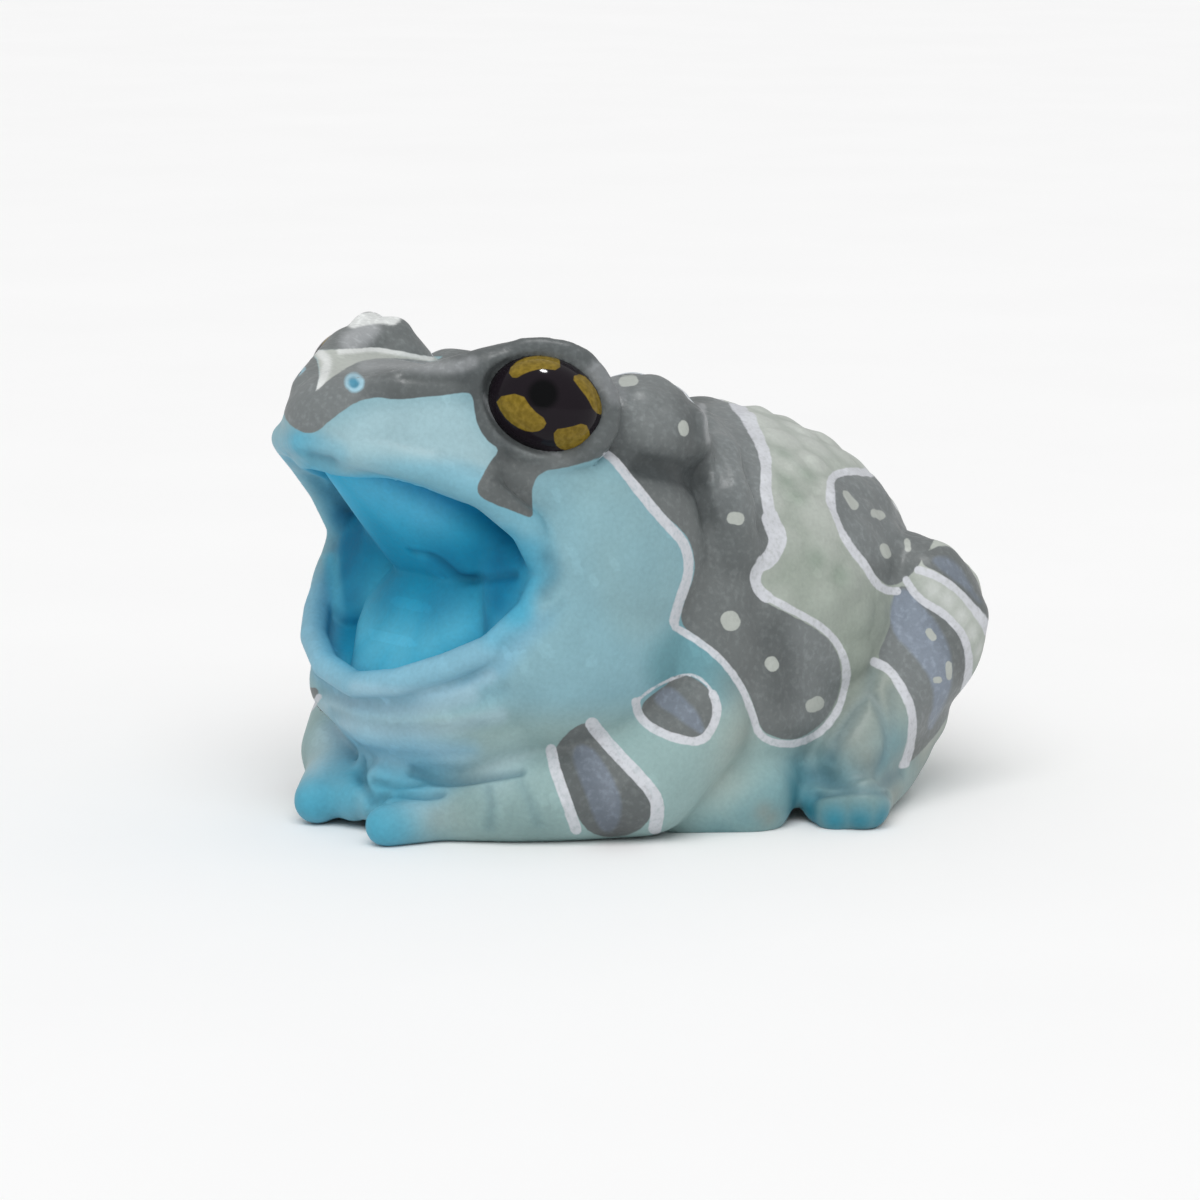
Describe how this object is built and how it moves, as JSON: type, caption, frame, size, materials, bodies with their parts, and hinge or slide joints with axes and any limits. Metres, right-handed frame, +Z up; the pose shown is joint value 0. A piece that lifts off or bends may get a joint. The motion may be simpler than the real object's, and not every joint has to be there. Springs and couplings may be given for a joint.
{
  "type": "milk frog figurine",
  "caption": "Painted vinyl figure of a warty tree frog that sits with its mouth wide open, blotched in pale blue, grey and black, with glossy eyes.",
  "frame": {"origin": "middle of the figure's width and length, at the level that it rests on", "axes": "+Z up, -Y the way the frog looks, +X the frog's left side"},
  "size_m": [0.0532, 0.0618, 0.0409],
  "materials": {
    "head": "satin paint on soft vinyl",
    "lower_jaw": "satin paint on soft vinyl",
    "tongue": "satin paint on soft vinyl",
    "torso": "satin paint on soft vinyl",
    "arm": "satin paint on soft vinyl",
    "hand": "satin paint on soft vinyl",
    "leg": "satin paint on soft vinyl",
    "foot": "satin paint on soft vinyl",
    "eye": "glossy clear coat over paint"
  },
  "bodies": {
    "root": {"torso": "torso", "head": "head", "lower_jaw": "lower_jaw", "tongue": "tongue", "eye_left": "eye", "eye_right": "eye", "arm_left": "arm", "arm_right": "arm", "hand_left": "hand", "hand_right": "hand", "leg_left": "leg", "leg_right": "leg", "foot_left": "foot", "foot_right": "foot"}
  },
  "joints": []
}
